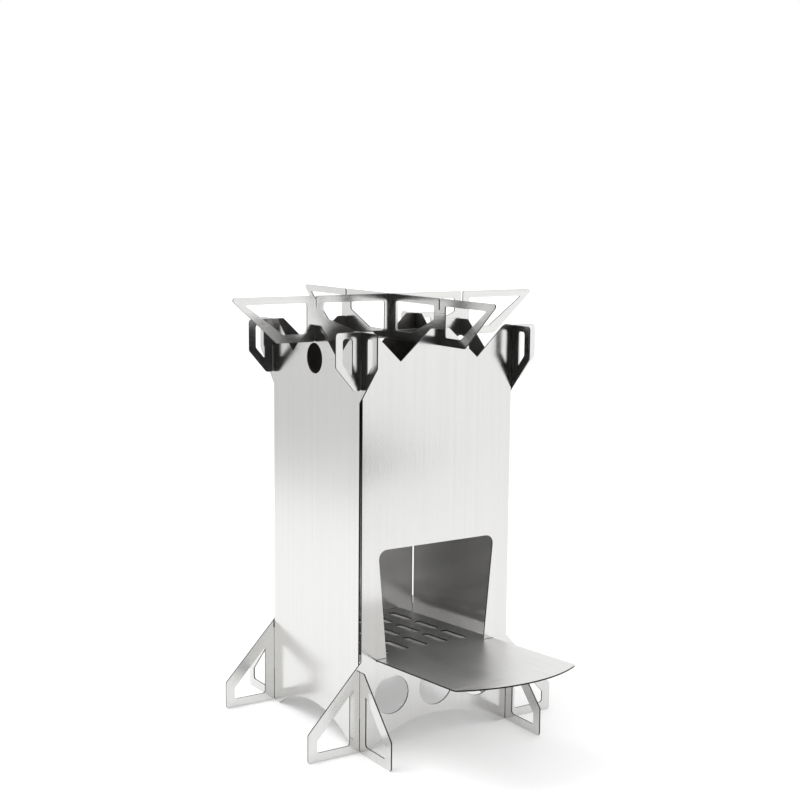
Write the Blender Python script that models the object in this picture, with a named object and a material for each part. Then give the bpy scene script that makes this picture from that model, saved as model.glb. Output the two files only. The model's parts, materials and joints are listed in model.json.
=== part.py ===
"""Flat-pack rocket stove: seven flat stainless plates that slot together.

Four panels stand as a square chimney and lock at the corners by half-lap slots in their ears and
feet.  A fuel tray slides through the front panel, and two crossed pot supports drop onto tabs at
the top.  Dimensions below are in millimetres, and the model is in metres, +Z up, front at -Y.
"""
import math

import bmesh
import bpy
from mathutils import Matrix, Vector

MM = 0.001
MERGE_DISTANCE = 0.00001    # metres

# Sheet and fits
SHEET = 1.2                 # thickness of every plate
GAP = 0.3                   # play between two pieces that touch
SLOT = SHEET + 2 * GAP      # width of every slot
MOUTH = 0.8                 # how far a slot's mouth flares on each side, and how deep
TILT_ROOM = 0.05            # extra height of the slots that the tilted tray passes through
ARC_STEP = math.radians(15)

# Corner radii
ROUND = 3.0                 # outer corners
TOE_ROUND = 2.5             # corners on the ground and the wider corners of the windows
WINDOW_ROUND = 2.0
LIP_ROUND = 1.2
BLEND = 1.0                 # inside corners where a wing joins its panel
EDGE_BREAK = 0.8
TIGHT = 0.7                 # the sharpest corners of the windows
ROOT_ROUND = 0.3            # bottom of a V notch
TRAY_ROUND = 5.0

# Chimney
PLAN = 148.8                # distance between the mid-planes of opposite panels
PANEL_TOP = 345.8
SLOT_AT = PLAN / 2
FRONT_EDGE = SLOT_AT - SLOT / 2     # half width of the front and back panels
SIDE_EDGE = SLOT_AT - 2.0           # half width of the side panels

# Feet and the ears at the top corners
FOOT_OUT = 123.0
FOOT_HEIGHT = 24.0
FOOT_LAP = 29.1             # height where the foot's two half-laps meet
FOOT_SLOPE = 1.057
SIDE_FOOT_TIP = 68.3
SIDE_FOOT_ROUND = 1.5
EAR_OUT = 98.2
EAR_SHOULDER = 318.5
EAR_SLOPE = 1.15
EAR_TIP = 299.2
EAR_LAP = 322.5             # height where the ear's two half-laps meet
FOOT_WINDOW_INNER = 84.0
FOOT_WINDOW_OUTER = 114.7
FOOT_WINDOW_BASE = 7.7
FOOT_WINDOW_SHOULDER = 17.6
FOOT_WINDOW_PEAK = 50.8
EAR_WINDOW_INNER = 82.9
EAR_WINDOW_OUTER = 91.8
EAR_WINDOW_TIP = 310.9
EAR_WINDOW_SHOULDER = 321.1
EAR_WINDOW_TOP = 341.0
BASE_ARC_HALF = 64.0
BASE_ARC_RISE = 20.3

# Top edge of every panel: two V notches with a tab between them
NOTCH_OUTER = 64.5
NOTCH_AT = 37.8
NOTCH_FLOOR = 320.4
TAB_HALF = 9.2
TAB_LAP = 338.8             # height where a tab and a pot support meet

# Fire opening and air holes
OPENING_TOP = 167.2
OPENING_TOP_HALF = 57.9
OPENING_FOOT_HALF = 49.4
OPENING_RADIUS = 7.5
VENT_AT = 44.0
VENT_HEIGHT = 43.9
VENT_RADIUS = 16.6
SIDE_HOLE_HEIGHT = 318.1
SIDE_HOLE_RADIUS = 12.9

# Fuel tray
TRAY_HALF = 58.8
TRAY_TILT = math.radians(3.8)       # the outer end is the higher one
TRAY_HEIGHT = 75.2                  # its mid-plane where it passes the front panel
TRAY_SIDE = 112.0                   # length of its straight side in front of the panel
TRAY_REACH = 129.0
TONGUE_HALF = 24.0
TONGUE_OUT = 7.0                    # how far its tongue stands out behind the back panel
GRATE_SLOT_HALF = 3.5
GRATE_SLOT_LENGTH = 34.0
GRATE_COLUMNS = 5
GRATE_ROWS = 3
GRATE_PITCH_X = 20.0
GRATE_PITCH_Y = 43.0

# Pot supports
SUPPORT_TOP = 370.1
SUPPORT_BASE = 331.8
SUPPORT_TOP_HALF = 153.4
SUPPORT_BASE_HALF = 110.3
SUPPORT_TIP_RADIUS = 2.0
SUPPORT_BAND = 6.8          # width of its lower and sloping rims
SUPPORT_TOP_BAND = 6.0
SUPPORT_LAP = 351.0
STEM_HALF = 6.8
RIM_SLOT_FLOOR = 360.7
WING_WINDOW_INNER = 82.3
WING_WINDOW_BASE = 104.5    # outer end of the wing window's bottom edge
WING_WINDOW_TIP = 139.5
MID_WINDOW_BASE = 34.0      # outer end of the middle window's bottom edge
MID_WINDOW_OUTER = 66.5
MID_WINDOW_SHOULDER = 352.5

# Finish: tone and roughness of the bare stainless sheet
PANEL_FINISH = (0.76, 0.24)
TRAY_FINISH = (0.72, 0.3)
SUPPORT_FINISH = (0.8, 0.2)
WARMTH = 0.985              # blue channel against red and green

# The origin is under the middle of the whole stove, so the chimney stands a little behind it.
TIP_ANGLE = math.atan2(SUPPORT_TOP - SUPPORT_BASE, SUPPORT_TOP_HALF - SUPPORT_BASE_HALF)
SUPPORT_REACH = SUPPORT_TOP_HALF + SUPPORT_TIP_RADIUS - SUPPORT_TIP_RADIUS / math.tan(TIP_ANGLE / 2)
TRAY_FRONT = SLOT_AT + TRAY_REACH * math.cos(TRAY_TILT) + SHEET / 2 * math.sin(TRAY_TILT)
STOVE_Y = (TRAY_FRONT - SUPPORT_REACH) / 2


def bow(centre, radius, start, end):
    """Points of an arc from one angle to the other, in radians."""
    count = max(2, math.ceil(abs(end - start) / ARC_STEP - 1e-6))
    angles = [start + (end - start) * i / count for i in range(count + 1)]
    return [(centre[0] + radius * math.cos(a), centre[1] + radius * math.sin(a)) for a in angles]


def rounded(corners):
    """Outline through (x, y) corners; a third number rounds that corner with its radius."""
    outline = []
    for i, corner in enumerate(corners):
        point = Vector(corner[:2])
        if len(corner) < 3:
            outline.append(tuple(point))
            continue
        radius = corner[2]
        before = (Vector(corners[i - 1][:2]) - point).normalized()
        after = (Vector(corners[(i + 1) % len(corners)][:2]) - point).normalized()
        half = before.angle(after) / 2
        centre = point + (before + after).normalized() * radius / math.sin(half)
        first = point + before * radius / math.tan(half) - centre
        last = point + after * radius / math.tan(half) - centre
        start = math.atan2(first.y, first.x)
        turn = math.remainder(math.atan2(last.y, last.x) - start, 2 * math.pi)
        outline += bow(centre, radius, start, start + turn)
    return outline


def mirrored(half):
    """Closed outline from its +X half, which runs from the middle round to the middle."""
    return half + [(-x, *rest) for x, *rest in reversed(half) if abs(x) > 1e-6]


def circle(x, y, radius):
    return bow((x, y), radius, 0, 2 * math.pi)[:-1]


def slot_down(at, floor, mouth):
    """Corners of a slot that opens downward, from its inner mouth round to its outer mouth."""
    half = SLOT / 2
    return [
        (at - half - MOUTH, mouth), (at - half, mouth + MOUTH), (at - half, floor),
        (at + half, floor), (at + half, mouth + MOUTH), (at + half + MOUTH, mouth),
    ]


def slot_up(at, floor, mouth):
    """Corners of a slot that opens upward, from its outer mouth round to its inner mouth."""
    half = SLOT / 2
    return [
        (at + half + MOUTH, mouth), (at + half, mouth - MOUTH), (at + half, floor),
        (at - half, floor), (at - half, mouth - MOUTH), (at - half - MOUTH, mouth),
    ]


def base_arc():
    """Right half of the shallow arc cut out of a panel's bottom edge, from the middle outward."""
    radius = (BASE_ARC_HALF ** 2 + BASE_ARC_RISE ** 2) / (2 * BASE_ARC_RISE)
    reach = math.asin(BASE_ARC_HALF / radius)
    centre = (0, BASE_ARC_RISE - radius)
    steps = 8
    angles = [math.pi / 2 - reach * i / steps for i in range(steps + 1)]
    return [(radius * math.cos(a), centre[1] + radius * math.sin(a)) for a in angles]


def foot_line(x):
    """Height of the foot's sloping edge."""
    return FOOT_HEIGHT + (FOOT_OUT - x) * FOOT_SLOPE


def ear_line(x):
    """Height of the ear's sloping edge."""
    return EAR_SHOULDER - (EAR_OUT - x) * EAR_SLOPE


def top_edge():
    """Corners of a panel's top from its ear inward: notch, then tab with its slot."""
    return [
        (NOTCH_OUTER, PANEL_TOP, EDGE_BREAK), (NOTCH_AT, NOTCH_FLOOR, ROOT_ROUND),
        (TAB_HALF, PANEL_TOP, LIP_ROUND),
        (SLOT / 2 + MOUTH, PANEL_TOP), (SLOT / 2, PANEL_TOP - MOUTH), (SLOT / 2, TAB_LAP - GAP / 2),
    ]


def front_outline():
    """Front and back panels: their corner slots open downward."""
    ear_out_at_tip = EAR_OUT - (EAR_SHOULDER - EAR_TIP) / EAR_SLOPE
    half = base_arc()
    half += slot_down(SLOT_AT, FOOT_LAP + GAP / 2, 0)
    half += [
        (FOOT_OUT, 0, TOE_ROUND), (FOOT_OUT, FOOT_HEIGHT, ROUND),
        (FRONT_EDGE, foot_line(FRONT_EDGE), BLEND),
        (FRONT_EDGE, EAR_LAP + GAP / 2), (SLOT_AT + SLOT / 2, EAR_LAP + GAP / 2),
        (SLOT_AT + SLOT / 2, EAR_TIP, LIP_ROUND), (ear_out_at_tip, EAR_TIP, ROUND),
        (EAR_OUT, EAR_SHOULDER, ROUND), (EAR_OUT, PANEL_TOP, ROUND),
    ]
    return rounded(mirrored(half + top_edge()))


def side_outline():
    """Left and right panels: their corner slots open upward."""
    tip = FOOT_OUT - (SIDE_FOOT_TIP - FOOT_HEIGHT) / FOOT_SLOPE
    half = base_arc()
    half += [
        (FOOT_OUT, 0, TOE_ROUND), (FOOT_OUT, FOOT_HEIGHT, ROUND), (tip, SIDE_FOOT_TIP, SIDE_FOOT_ROUND),
        (SLOT_AT + SLOT / 2, SIDE_FOOT_TIP, EDGE_BREAK), (SLOT_AT + SLOT / 2, FOOT_LAP - GAP / 2),
        (FRONT_EDGE, FOOT_LAP - GAP / 2), (FRONT_EDGE, SIDE_FOOT_TIP - SIDE_FOOT_ROUND),
        (SIDE_EDGE, SIDE_FOOT_TIP), (SIDE_EDGE, ear_line(SIDE_EDGE), BLEND),
        (EAR_OUT, EAR_SHOULDER, ROUND), (EAR_OUT, PANEL_TOP, ROUND),
    ]
    half += slot_up(SLOT_AT, EAR_LAP - GAP / 2, PANEL_TOP)
    return rounded(mirrored(half + top_edge()))


def foot_window():
    return rounded([
        (FOOT_WINDOW_INNER, FOOT_WINDOW_BASE, TOE_ROUND),
        (FOOT_WINDOW_OUTER, FOOT_WINDOW_BASE, TOE_ROUND),
        (FOOT_WINDOW_OUTER, FOOT_WINDOW_SHOULDER, WINDOW_ROUND),
        (FOOT_WINDOW_INNER, FOOT_WINDOW_PEAK, TIGHT),
    ])


def ear_window():
    return rounded([
        (EAR_WINDOW_INNER, EAR_WINDOW_TIP, TIGHT),
        (EAR_WINDOW_OUTER, EAR_WINDOW_SHOULDER, WINDOW_ROUND),
        (EAR_WINDOW_OUTER, EAR_WINDOW_TOP, TOE_ROUND),
        (EAR_WINDOW_INNER, EAR_WINDOW_TOP, TOE_ROUND),
    ])


def both_sides(outline):
    """An outline and its mirror image."""
    return [outline, [(-x, y) for x, y in reversed(outline)]]


def corner_windows():
    return both_sides(foot_window()) + both_sides(ear_window())


def fire_opening():
    """Tapered opening; its bottom widens to a thin slot that the fuel tray passes through."""
    floor = TRAY_HEIGHT - SLOT / 2 - TILT_ROOM
    roof = TRAY_HEIGHT + SLOT / 2 + TILT_ROOM
    slot_half = TRAY_HALF + 2 * GAP
    half = [
        (slot_half, floor), (slot_half, roof), (OPENING_FOOT_HALF, roof),
        (OPENING_TOP_HALF, OPENING_TOP, OPENING_RADIUS),
    ]
    return rounded(mirrored(half))


def tongue_slot():
    """Slot in the back panel that holds the inner end of the fuel tray."""
    middle = TRAY_HEIGHT - PLAN * math.tan(TRAY_TILT)
    half_width = TONGUE_HALF + 2 * GAP
    half_height = SLOT / 2 + TILT_ROOM
    corners = [(half_width, middle - half_height), (half_width, middle + half_height)]
    return mirrored(corners)


def vents():
    return [circle(x, VENT_HEIGHT, VENT_RADIUS) for x in (-VENT_AT, 0, VENT_AT)]


def tray_outline():
    """Fuel tray seen from above; its outer end is an arc, and its inner end has a tongue."""
    rise = TRAY_REACH - TRAY_SIDE
    radius = (TRAY_HALF ** 2 + rise ** 2) / (2 * rise)
    reach = math.asin(TRAY_HALF / radius)
    steps = 9
    angles = [-math.pi / 2 + reach * i / steps for i in range(steps)]
    half = [(radius * math.cos(a), radius - TRAY_REACH + radius * math.sin(a)) for a in angles]
    inner = (PLAN - SHEET / 2 - GAP) / math.cos(TRAY_TILT) - SHEET / 2 * math.tan(TRAY_TILT)
    half += [
        (TRAY_HALF, -TRAY_SIDE, TRAY_ROUND), (TRAY_HALF, inner, ROUND), (TONGUE_HALF, inner),
        (TONGUE_HALF, inner + SHEET + TONGUE_OUT, ROUND),
    ]
    return rounded(mirrored(half))


def grate_slots():
    """Rounded slots through the part of the tray that lies under the fire."""
    slots = []
    straight = GRATE_SLOT_LENGTH / 2 - GRATE_SLOT_HALF
    for row in range(GRATE_ROWS):
        for column in range(GRATE_COLUMNS):
            x = (column - (GRATE_COLUMNS - 1) / 2) * GRATE_PITCH_X
            y = PLAN / 2 + (row - (GRATE_ROWS - 1) / 2) * GRATE_PITCH_Y
            upper = bow((x, y + straight), GRATE_SLOT_HALF, 0, math.pi)
            lower = bow((x, y - straight), GRATE_SLOT_HALF, math.pi, 2 * math.pi)
            slots.append(upper + lower)
    return slots


def support_outline(lap_opens_up):
    """Pot support: a wide trapezoid that is slotted over the tabs and at its crossing."""
    half = []
    if lap_opens_up:
        half.append((0, SUPPORT_BASE))
    else:
        half += [(SLOT / 2, SUPPORT_LAP + GAP / 2), (SLOT / 2, SUPPORT_BASE + MOUTH)]
        half.append((SLOT / 2 + MOUTH, SUPPORT_BASE))
    half += slot_down(SLOT_AT, TAB_LAP + GAP / 2, SUPPORT_BASE)
    half.append((SUPPORT_BASE_HALF, SUPPORT_BASE, ROUND))
    half.append((SUPPORT_TOP_HALF, SUPPORT_TOP, SUPPORT_TIP_RADIUS))
    half += slot_up(SLOT_AT, RIM_SLOT_FLOOR, SUPPORT_TOP)
    if lap_opens_up:
        half += [(SLOT / 2 + MOUTH, SUPPORT_TOP), (SLOT / 2, SUPPORT_TOP - MOUTH)]
        half.append((SLOT / 2, SUPPORT_LAP - GAP / 2))
    else:
        half.append((0, SUPPORT_TOP))
    return rounded(mirrored(half))


def support_windows():
    """Two windows in each wing of a pot support."""
    top = SUPPORT_TOP - SUPPORT_TOP_BAND
    base = SUPPORT_BASE + SUPPORT_BAND
    wing = [
        (WING_WINDOW_INNER, base, WINDOW_ROUND), (WING_WINDOW_BASE, base, WINDOW_ROUND),
        (WING_WINDOW_TIP, top, TIGHT), (WING_WINDOW_INNER, top, WINDOW_ROUND),
    ]
    middle = [
        (STEM_HALF, base, WINDOW_ROUND), (MID_WINDOW_BASE, base, WINDOW_ROUND),
        (MID_WINDOW_OUTER, MID_WINDOW_SHOULDER, WINDOW_ROUND), (MID_WINDOW_OUTER, top, WINDOW_ROUND),
        (STEM_HALF, top, WINDOW_ROUND),
    ]
    return both_sides(rounded(wing)) + both_sides(rounded(middle))


def steel(name, finish):
    """Bare stainless sheet; the plates differ a little in tone and finish."""
    shade, roughness = finish
    material = bpy.data.materials.new(name)
    material.use_nodes = True
    shader = material.node_tree.nodes["Principled BSDF"]
    shader.inputs["Base Color"].default_value = (shade, shade, shade * WARMTH, 1)
    shader.inputs["Metallic"].default_value = 1.0
    shader.inputs["Roughness"].default_value = roughness
    return material


def plate(name, outlines, material, place, parent, collection):
    """One sheet-metal plate: flat outlines in millimetres, filled and extruded to the sheet."""
    flat = bpy.data.curves.new(name + "_outline", "CURVE")
    flat.dimensions = "2D"
    flat.fill_mode = "BOTH"
    flat.extrude = SHEET / 2 * MM
    for outline in outlines:
        spline = flat.splines.new("POLY")
        spline.points.add(len(outline) - 1)
        for point, (x, y) in zip(spline.points, outline):
            point.co = (x * MM, y * MM, 0, 1)
        spline.use_cyclic_u = True
    drawn = bpy.data.objects.new(name + "_outline", flat)
    collection.objects.link(drawn)
    mesh = bpy.data.meshes.new_from_object(drawn.evaluated_get(bpy.context.evaluated_depsgraph_get()))
    bpy.data.objects.remove(drawn)
    solid = bmesh.new()
    solid.from_mesh(mesh)
    bmesh.ops.remove_doubles(solid, verts=solid.verts, dist=MERGE_DISTANCE)
    bmesh.ops.recalc_face_normals(solid, faces=solid.faces)
    solid.to_mesh(mesh)
    solid.free()
    mesh.name = name
    mesh.materials.clear()
    mesh.materials.append(material)
    piece = bpy.data.objects.new(name, mesh)
    piece.parent = parent
    piece.matrix_local = place
    collection.objects.link(piece)
    return piece


def axis_empty(name, location, parent, collection):
    """Empty on a joint's axis or at the stove's centre, in metres."""
    empty = bpy.data.objects.new(name, None)
    empty.empty_display_size = 0.02
    empty.parent = parent
    empty.location = location
    collection.objects.link(empty)
    return empty


def build():
    for old in list(bpy.data.objects):
        bpy.data.objects.remove(old)
    stove = bpy.data.collections.new("rocket_stove")
    bpy.context.scene.collection.children.link(stove)
    centre = axis_empty("stove_centre", (0, STOVE_Y * MM, 0), None, stove)

    facing_front = Matrix.Rotation(math.pi / 2, 4, "X")
    facing_side = Matrix.Rotation(math.pi / 2, 4, "Z") @ facing_front
    offset = SLOT_AT * MM
    windows = corner_windows()
    hole = [circle(0, SIDE_HOLE_HEIGHT, SIDE_HOLE_RADIUS)]
    panels = [
        ("front_panel", front_outline(), [fire_opening()] + vents(), facing_front, (0, -offset, 0)),
        ("back_panel", front_outline(), [tongue_slot()], facing_front, (0, offset, 0)),
        ("left_panel", side_outline(), hole, facing_side, (-offset, 0, 0)),
        ("right_panel", side_outline(), hole, facing_side, (offset, 0, 0)),
    ]
    for name, outline, cuts, facing, position in panels:
        place = Matrix.Translation(position) @ facing
        outlines = [outline] + windows + cuts
        plate(name, outlines, steel(name + "_steel", PANEL_FINISH), place, centre, stove)

    tray_axis = axis_empty("tray_slide_axis", (0, -offset, TRAY_HEIGHT * MM), centre, stove)
    tilt = Matrix.Rotation(-TRAY_TILT, 4, "X")
    tray = [tray_outline()] + grate_slots()
    plate("fuel_tray", tray, steel("fuel_tray_steel", TRAY_FINISH), tilt, tray_axis, stove)

    support_axis = axis_empty("support_lift_axis", (0, 0, 0), centre, stove)
    supports = [("pot_support_lower", facing_front, True), ("pot_support_upper", facing_side, False)]
    for name, facing, lap_opens_up in supports:
        outlines = [support_outline(lap_opens_up)] + support_windows()
        plate(name, outlines, steel(name + "_steel", SUPPORT_FINISH), facing, support_axis, stove)


build()
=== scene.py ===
import json
import math

import bmesh
import bpy
from mathutils import Matrix, Vector


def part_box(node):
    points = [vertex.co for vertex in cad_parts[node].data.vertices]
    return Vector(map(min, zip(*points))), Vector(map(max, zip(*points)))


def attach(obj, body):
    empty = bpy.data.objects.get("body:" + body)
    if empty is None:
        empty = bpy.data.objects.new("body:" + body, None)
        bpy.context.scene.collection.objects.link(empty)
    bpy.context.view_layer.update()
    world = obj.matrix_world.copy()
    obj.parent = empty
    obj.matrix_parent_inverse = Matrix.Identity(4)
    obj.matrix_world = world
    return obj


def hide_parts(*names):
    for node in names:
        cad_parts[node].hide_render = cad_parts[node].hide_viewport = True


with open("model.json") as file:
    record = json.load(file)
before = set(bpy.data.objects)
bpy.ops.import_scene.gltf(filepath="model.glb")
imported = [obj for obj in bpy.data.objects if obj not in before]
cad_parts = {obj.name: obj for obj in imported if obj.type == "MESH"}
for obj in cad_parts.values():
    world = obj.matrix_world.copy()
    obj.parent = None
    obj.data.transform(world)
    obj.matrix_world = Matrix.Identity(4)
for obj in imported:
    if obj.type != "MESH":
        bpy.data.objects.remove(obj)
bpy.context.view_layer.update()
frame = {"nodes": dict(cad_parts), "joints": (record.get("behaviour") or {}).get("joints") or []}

# Where the chimney stands and how far the tray tilts, read from the frame
STOVE_Y = (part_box("front_panel")[0].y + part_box("back_panel")[1].y) / 2
tray_axis = next(joint["axis"] for joint in frame["joints"] if joint["name"] == "tray_slide")
TRAY_TILT = math.atan2(tray_axis[2], -tray_axis[1])

# Camera, placed from the stove's centre line on the ground
CAMERA_PLACE = (-0.6554, STOVE_Y - 1.0307, 0.4467)
CAMERA_TURN = math.radians(32.851)
CAMERA_DIP = math.radians(7.871)
CAMERA_ROLL = math.radians(0.491)
CAMERA_LENS = 64.12

# The floor's painted shade and faint painted glow at distances to the left of the stove, in metres
FLOOR_RADIUS = 9
FLOOR_LEFTWARD = (-1, 0.15, 0)
FLOOR_SPAN = (-1.0, 2.0)
FLOOR_PAINTED_SHADE = ((0.6, 0.8), (0.85, 0.72), (1.1, 0.72), (1.5, 0.8))
FLOOR_GLOW = ((-0.45, 0.32), (0.0, 0.25), (0.3, 0.18), (0.55, 0.16), (0.85, 0.0))
HORIZON_SPAN = (3.0, 7.5)           # where the floor fades into the backdrop
HORIZON_GLOW = 0.4

# Light from above, and two dark cards behind the camera, upright and on the ground
OVERHEAD_PLACE = (-0.6, STOVE_Y + 0.35, 1.3)
OVERHEAD_TARGET = (-0.3, STOVE_Y + 0.2, 0)
OVERHEAD_SIZE = 0.9
OVERHEAD_POWER = 8
CARD_SHADE = 0.002
WALL_SIZE = (3.0, 1.0)
WALL_AWAY = 1.9
WALL_HEIGHT = 0.35
MAT_SIZE = (2.6, 1.3)
MAT_AWAY = 1.3
MAT_LIFT = 0.002

# Sheet steel
STEEL = (0.70, 0.697, 0.688)
EDGE_STEEL = (0.022, 0.021, 0.02)
# The next colour is painted shade for the inside of the chimney
PAINTED_SHADE_STEEL = (0.05, 0.045, 0.042)
PANEL_ROUGHNESS = 0.15
SUPPORT_ROUGHNESS = 0.16
TRAY_ROUGHNESS = 0.4
EDGE_ROUGHNESS = 0.42
PAINTED_SHADE_ROUGHNESS = 0.45
ROUGHNESS_SPREAD = (-0.035, 0.045)
# Painted light: the tray's steel is lighter than the panels', to lift the dark reflection it shows
TRAY_PAINTED_LIGHT = 1.18
STREAK_SHADE = (0.97, 1.015)
NOISE_SPAN = (0.3, 0.7)             # where a noise texture's values mostly lie
EDGE_FACING = (0.97, 0.88)          # from sheet face to cut edge, by how far the surface turns
EDGE_SOFTNESS = 0.0001
SHARP = math.radians(40)
WELD = 0.000005

# Textures: frequencies per metre, across and along the brushing; relief as strength and height
SEED_STEP = (0.37, 0.21, 0.53)
GRAIN = (2600, 14)
GRAIN_RELIEF = (0.7, 0.00004)
STREAKS = (260, 4)
BLOTCHES = 26.0
WAVES = 9.0
WAVE_RELIEF = (0.12, 0.0012)

# Painted shade on the panels' inner faces, inside the chimney, darker towards the top
CHIMNEY_HALF = 0.0738
PAINTED_SHADE_HEIGHTS = (0.1, 0.27)
PAINTED_SHADE_LEAST = 0.1
PAINTED_SHADE_PATCHES = (0.25, 0.6)
PATCH_LEAST = 0.75
FACES_INWARD = 0.6


def add_camera():
    """The viewpoint: in front, to the left and a little above."""
    camera = bpy.data.objects.new("camera", bpy.data.cameras.new("camera"))
    bpy.context.scene.collection.objects.link(camera)
    ahead = Vector((
        math.sin(CAMERA_TURN) * math.cos(CAMERA_DIP),
        math.cos(CAMERA_TURN) * math.cos(CAMERA_DIP),
        -math.sin(CAMERA_DIP),
    ))
    level = Vector((math.cos(CAMERA_TURN), -math.sin(CAMERA_TURN), 0))
    upward = level.cross(ahead)
    right = math.cos(CAMERA_ROLL) * level + math.sin(CAMERA_ROLL) * upward
    top = math.cos(CAMERA_ROLL) * upward - math.sin(CAMERA_ROLL) * level
    turn = Matrix((right, top, -ahead)).transposed().to_4x4()
    camera.matrix_world = Matrix.Translation(CAMERA_PLACE) @ turn
    camera.data.lens = CAMERA_LENS
    camera.data.clip_start = 0.01
    camera.data.clip_end = 100
    bpy.context.scene.camera = camera


def node(tree, kind, **values):
    """A shader node; values are its inputs by name, or its own settings."""
    made = tree.nodes.new(kind)
    for name, value in values.items():
        socket = made.inputs.get(name.replace("_", " "))
        if socket is not None:
            socket.default_value = value
        else:
            setattr(made, name, value)
    return made


def new_material(name):
    """A node material, with its tree and its Principled shader."""
    material = bpy.data.materials.new(name)
    material.use_nodes = True
    tree = material.node_tree
    return material, tree, tree.nodes["Principled BSDF"]


def mapped(tree, value, span, result=(0.0, 1.0), smooth=False):
    """Value mapped from its span to a result range, and held at the ends."""
    kind = "SMOOTHSTEP" if smooth else "LINEAR"
    made = node(tree, "ShaderNodeMapRange", interpolation_type=kind)
    made.inputs["From Min"].default_value, made.inputs["From Max"].default_value = span
    made.inputs["To Min"].default_value, made.inputs["To Max"].default_value = result
    tree.links.new(value, made.inputs["Value"])
    return made.outputs["Result"]


def sum_or_product(tree, operation, first, second):
    """Sum or product of two sockets."""
    made = node(tree, "ShaderNodeMath", operation=operation)
    tree.links.new(first, made.inputs[0])
    tree.links.new(second, made.inputs[1])
    return made.outputs["Value"]


def mixed(tree, data_type, factor, first, second):
    """A mix from a socket to a constant."""
    made = node(tree, "ShaderNodeMix", data_type=data_type)
    tree.links.new(factor, made.inputs["Factor"])
    tree.links.new(first, made.inputs["A"])
    made.inputs["B"].default_value = second
    return made.outputs["Result"]


def dot(tree, vector, direction):
    """Dot product of a vector socket and a fixed direction."""
    made = node(tree, "ShaderNodeVectorMath", operation="DOT_PRODUCT")
    made.inputs[1].default_value = direction
    tree.links.new(vector, made.inputs[0])
    return made.outputs["Value"]


def magnitude(tree, value):
    """Absolute value of a socket."""
    made = node(tree, "ShaderNodeMath", operation="ABSOLUTE")
    tree.links.new(value, made.inputs[0])
    return made.outputs["Value"]


def compared(tree, operation, value, limit):
    """One where the value passes the limit, and zero elsewhere."""
    made = node(tree, "ShaderNodeMath", operation=operation)
    made.inputs[1].default_value = limit
    tree.links.new(value, made.inputs[0])
    return made.outputs["Value"]


def noise(tree, vector, frequencies=None, **settings):
    """Noise texture, stretched where it has a frequency for each axis."""
    if frequencies:
        stretch = node(tree, "ShaderNodeMapping")
        stretch.inputs["Scale"].default_value = frequencies
        tree.links.new(vector, stretch.inputs["Vector"])
        vector = stretch.outputs["Vector"]
    made = node(tree, "ShaderNodeTexNoise", **settings)
    tree.links.new(vector, made.inputs["Vector"])
    return made.outputs["Fac"]


def shade_ramp(tree, position, stops):
    """Grey that follows (place, value) stops along the floor's span."""
    ramp = node(tree, "ShaderNodeValToRGB")
    ramp.color_ramp.interpolation = "EASE"
    low, high = FLOOR_SPAN
    spots = ramp.color_ramp.elements
    while len(spots) < len(stops):
        spots.new(0.5)
    for spot, (where, value) in zip(spots, stops):
        spot.position = (where - low) / (high - low)
        spot.color = (value, value, value, 1)
    tree.links.new(position, ramp.inputs["Fac"])
    return ramp.outputs["Color"]


def add_floor():
    """White floor with painted shade and a painted glow; it dims to the left, where the left panel
    mirrors it.
    """
    bpy.ops.mesh.primitive_circle_add(vertices=96, radius=FLOOR_RADIUS, fill_type="NGON")
    floor = bpy.context.object
    floor.name = "floor"
    material, tree, shader = new_material("floor_white")
    shader.inputs["Roughness"].default_value = 0.8
    shader.inputs["Specular IOR Level"].default_value = 0.2
    place = node(tree, "ShaderNodeNewGeometry").outputs["Position"]
    across = mapped(tree, dot(tree, place, FLOOR_LEFTWARD), FLOOR_SPAN)
    # Painted shade: the floor's grey dims to the left
    tree.links.new(shade_ramp(tree, across, FLOOR_PAINTED_SHADE), shader.inputs["Base Color"])

    away = node(tree, "ShaderNodeVectorMath", operation="LENGTH")
    tree.links.new(place, away.inputs[0])
    horizon = mapped(tree, away.outputs["Value"], HORIZON_SPAN, (0.0, HORIZON_GLOW), smooth=True)
    # Painted glow: the floor shines by itself, less and less towards the left
    glow = sum_or_product(tree, "ADD", shade_ramp(tree, across, FLOOR_GLOW), horizon)
    shader.inputs["Emission Color"].default_value = (1, 1, 1, 1)
    tree.links.new(glow, shader.inputs["Emission Strength"])
    floor.data.materials.append(material)


def add_card(name, size, place, toward):
    """A flat, dark studio card that only reflections see."""
    bpy.ops.mesh.primitive_plane_add(size=1, location=place)
    card = bpy.context.object
    card.name = name
    card.scale = (size[0], size[1], 1)
    card.rotation_mode = "QUATERNION"
    card.rotation_quaternion = (toward - place).to_track_quat("Z", "Y")
    material, _, shader = new_material(name)
    shader.inputs["Base Color"].default_value = (CARD_SHADE, CARD_SHADE, CARD_SHADE, 1)
    shader.inputs["Roughness"].default_value = 0.9
    shader.inputs["Specular IOR Level"].default_value = 0
    card.data.materials.append(material)
    card.visible_camera = False
    card.visible_shadow = False
    card.visible_diffuse = False
    return card


def add_overhead():
    """Soft square light above the stove."""
    light = bpy.data.objects.new("overhead", bpy.data.lights.new("overhead", "AREA"))
    light.data.shape = "RECTANGLE"
    light.data.size = OVERHEAD_SIZE
    light.data.size_y = OVERHEAD_SIZE
    light.data.energy = OVERHEAD_POWER
    light.location = OVERHEAD_PLACE
    light.rotation_mode = "QUATERNION"
    downward = Vector(OVERHEAD_TARGET) - Vector(OVERHEAD_PLACE)
    light.rotation_quaternion = downward.to_track_quat("-Z", "Y")
    bpy.context.scene.collection.objects.link(light)


def add_world():
    """Even white surroundings."""
    world = bpy.data.worlds.new("studio")
    world.use_nodes = True
    background = world.node_tree.nodes["Background"]
    background.inputs["Color"].default_value = (1, 1, 1, 1)
    background.inputs["Strength"].default_value = 1.0
    bpy.context.scene.world = world


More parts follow.
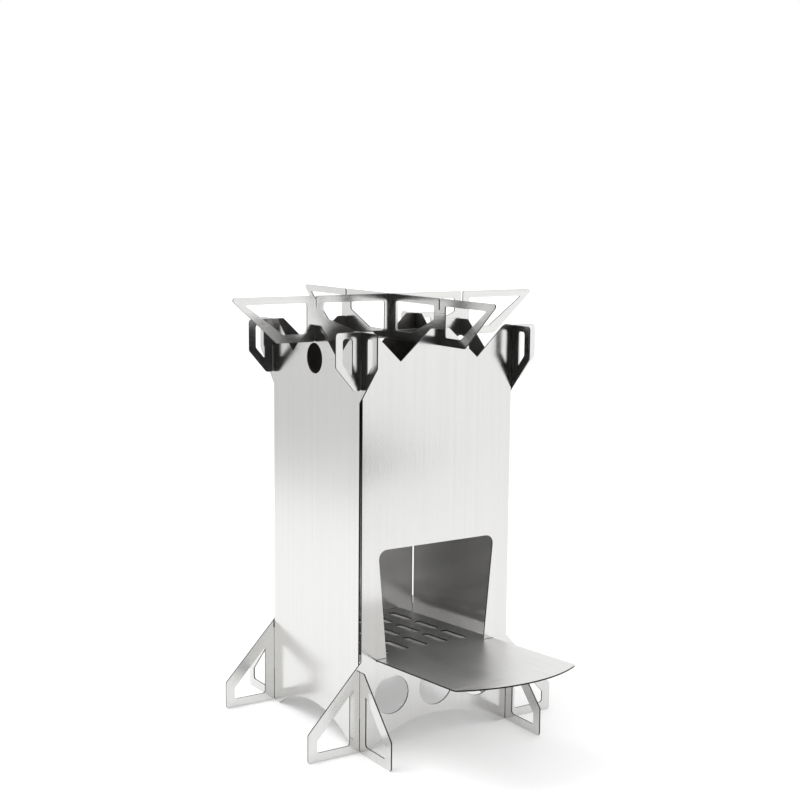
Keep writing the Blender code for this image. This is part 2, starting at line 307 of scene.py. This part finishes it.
def add_studio():
    """Floor, surroundings, light and the two dark cards."""
    add_floor()
    add_world()
    add_overhead()
    centre = Vector((0, STOVE_Y, 0))
    behind = Vector(CAMERA_PLACE) - centre
    behind.z = 0
    behind = behind.normalized()
    middle = centre + Vector((0, 0, WALL_HEIGHT))
    add_card("dark_side", WALL_SIZE, middle + behind * WALL_AWAY, middle)
    ground = centre + behind * MAT_AWAY + Vector((0, 0, MAT_LIFT))
    mat = add_card("dark_ground", MAT_SIZE, ground, ground + Vector((0, 0, 1)))
    mat.rotation_mode = "XYZ"
    mat.rotation_euler = (0, 0, -CAMERA_TURN)


def along_grain(grain, frequencies):
    """Frequency for each axis: low along the brushing and high across it."""
    across, along = frequencies
    return [along if g else across for g in grain]


def relief(tree, texture, amount):
    """Bump node that raises the surface by a texture."""
    strength, height = amount
    bump = node(tree, "ShaderNodeBump", Strength=strength)
    bump.inputs["Distance"].default_value = height
    tree.links.new(texture, bump.inputs["Height"])
    return bump


def chimney_painted_shade(tree, place, normal, inward, blotch):
    """Share of painted shade: only on the face that looks into the chimney, above the fuel tray."""
    inside = compared(tree, "GREATER_THAN", dot(tree, normal, inward), FACES_INWARD)

    from_middle = node(tree, "ShaderNodeVectorMath", operation="SUBTRACT")
    from_middle.inputs[1].default_value = (0, STOVE_Y, 0)
    tree.links.new(place, from_middle.inputs[0])
    axes = node(tree, "ShaderNodeSeparateXYZ")
    tree.links.new(from_middle.outputs["Vector"], axes.inputs["Vector"])
    sideways = magnitude(tree, axes.outputs["X" if inward[1] else "Y"])
    between = compared(tree, "LESS_THAN", sideways, CHIMNEY_HALF)

    height = mapped(tree, axes.outputs["Z"], PAINTED_SHADE_HEIGHTS, (PAINTED_SHADE_LEAST, 1.0), smooth=True)
    patches = mapped(tree, blotch, PAINTED_SHADE_PATCHES, (PATCH_LEAST, 1.0))
    share = inside
    for factor in (between, height, patches):
        share = sum_or_product(tree, "MULTIPLY", share, factor)
    return share


def brushed_steel(name, grain, face_normal, roughness, seed, inward, painted_brightness):
    """Brushed stainless sheet: fine grain along one axis, soft blotches, dark cut edges."""
    material, tree, shader = new_material(name)
    link = tree.links.new
    shader.inputs["Metallic"].default_value = 1.0

    place = node(tree, "ShaderNodeTexCoord").outputs["Object"]
    shift = node(tree, "ShaderNodeMapping")
    shift.inputs["Location"].default_value = [seed * step for step in SEED_STEP]
    link(place, shift.inputs["Vector"])
    shifted = shift.outputs["Vector"]
    fine = noise(tree, shifted, along_grain(grain, GRAIN), Scale=1.0, Detail=3.0, Roughness=0.6)
    broad = noise(tree, shifted, along_grain(grain, STREAKS), Scale=1.0, Detail=4.0, Roughness=0.55)
    blotch = noise(tree, shifted, Scale=BLOTCHES, Detail=3.0, Roughness=0.5)

    # Cut edges: where the surface doesn't face along the sheet's normal
    normal = node(tree, "ShaderNodeNewGeometry").outputs["True Normal"]
    edge = mapped(tree, magnitude(tree, dot(tree, normal, face_normal)), EDGE_FACING)

    # Colour
    tone = mapped(tree, broad, NOISE_SPAN, [share * painted_brightness for share in STREAK_SHADE])
    sheet = node(tree, "ShaderNodeVectorMath", operation="SCALE")
    sheet.inputs[0].default_value = STEEL
    link(tone, sheet.inputs["Scale"])
    colour = mixed(tree, "RGBA", edge, sheet.outputs["Vector"], (*EDGE_STEEL, 1))

    # Roughness, from the grain and the blotches in equal parts
    half = node(tree, "ShaderNodeMath", operation="MULTIPLY")
    half.inputs[1].default_value = 0.5
    link(blotch, half.inputs[0])
    both = node(tree, "ShaderNodeMath", operation="MULTIPLY_ADD")
    both.inputs[1].default_value = 0.5
    link(fine, both.inputs[0])
    link(half.outputs["Value"], both.inputs[2])
    spread = [roughness + change for change in ROUGHNESS_SPREAD]
    dull = mapped(tree, both.outputs["Value"], NOISE_SPAN, spread)
    dull = mixed(tree, "FLOAT", edge, dull, EDGE_ROUGHNESS)

    # Painted shade: the panels' inner faces are darkened inside the chimney, more towards the top
    if inward:
        painted_shade_share = chimney_painted_shade(tree, place, normal, inward, blotch)
        colour = mixed(tree, "RGBA", painted_shade_share, colour, (*PAINTED_SHADE_STEEL, 1))
        dull = mixed(tree, "FLOAT", painted_shade_share, dull, PAINTED_SHADE_ROUGHNESS)
    link(colour, shader.inputs["Base Color"])
    link(dull, shader.inputs["Roughness"])

    # Relief: the grain, and the faint waves of a thin sheet
    grain_bump = relief(tree, fine, GRAIN_RELIEF)
    wave_bump = relief(tree, noise(tree, shifted, Scale=WAVES, Detail=1.0), WAVE_RELIEF)
    link(grain_bump.outputs["Normal"], wave_bump.inputs["Normal"])
    link(wave_bump.outputs["Normal"], shader.inputs["Normal"])
    return material


def finish_plate(name, body, steel):
    """The plate as made: its sheared edges very slightly rounded, in its own steel."""
    source = frame["nodes"][name]
    mesh = source.data.copy()
    mesh.name = name + "_finished"
    joined = bmesh.new()
    joined.from_mesh(mesh)
    bmesh.ops.remove_doubles(joined, verts=joined.verts, dist=WELD)
    joined.to_mesh(mesh)
    joined.free()
    mesh.materials.clear()
    mesh.materials.append(steel)
    plate = bpy.data.objects.new(name + "_finished", mesh)
    bpy.context.scene.collection.objects.link(plate)
    plate.matrix_world = source.matrix_world
    rounding = plate.modifiers.new("sheared_edges", "BEVEL")
    rounding.width = EDGE_SOFTNESS
    rounding.segments = 2
    rounding.limit_method = "ANGLE"
    rounding.angle_limit = SHARP
    rounding.use_clamp_overlap = False
    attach(plate, body)
    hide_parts(name)


def finish_plates():
    """Steel and soft edges for all seven plates; only the panels have a face with painted shade
    inside the chimney.
    """
    x, y, z = (1, 0, 0), (0, 1, 0), (0, 0, 1)
    tray = (0, math.sin(TRAY_TILT), math.cos(TRAY_TILT))
    plates = (
        ("front_panel", "chimney", z, y, PANEL_ROUGHNESS, (0, 1, 0), 1.0),
        ("back_panel", "chimney", z, y, PANEL_ROUGHNESS, (0, -1, 0), 1.0),
        ("left_panel", "chimney", z, x, PANEL_ROUGHNESS, (1, 0, 0), 1.0),
        ("right_panel", "chimney", z, x, PANEL_ROUGHNESS, (-1, 0, 0), 1.0),
        ("fuel_tray", "tray", y, tray, TRAY_ROUGHNESS, None, TRAY_PAINTED_LIGHT),
        ("pot_support_lower", "pot_support", x, y, SUPPORT_ROUGHNESS, None, 1.0),
        ("pot_support_upper", "pot_support", y, x, SUPPORT_ROUGHNESS, None, 1.0),
    )
    for seed, (name, body, grain, face_normal, roughness, inward, painted_brightness) in enumerate(plates, 1):
        steel = brushed_steel(name + "_steel", grain, face_normal, roughness, seed, inward, painted_brightness)
        finish_plate(name, body, steel)


bpy.context.scene.view_settings.view_transform = "Standard"
add_camera()
add_studio()
finish_plates()
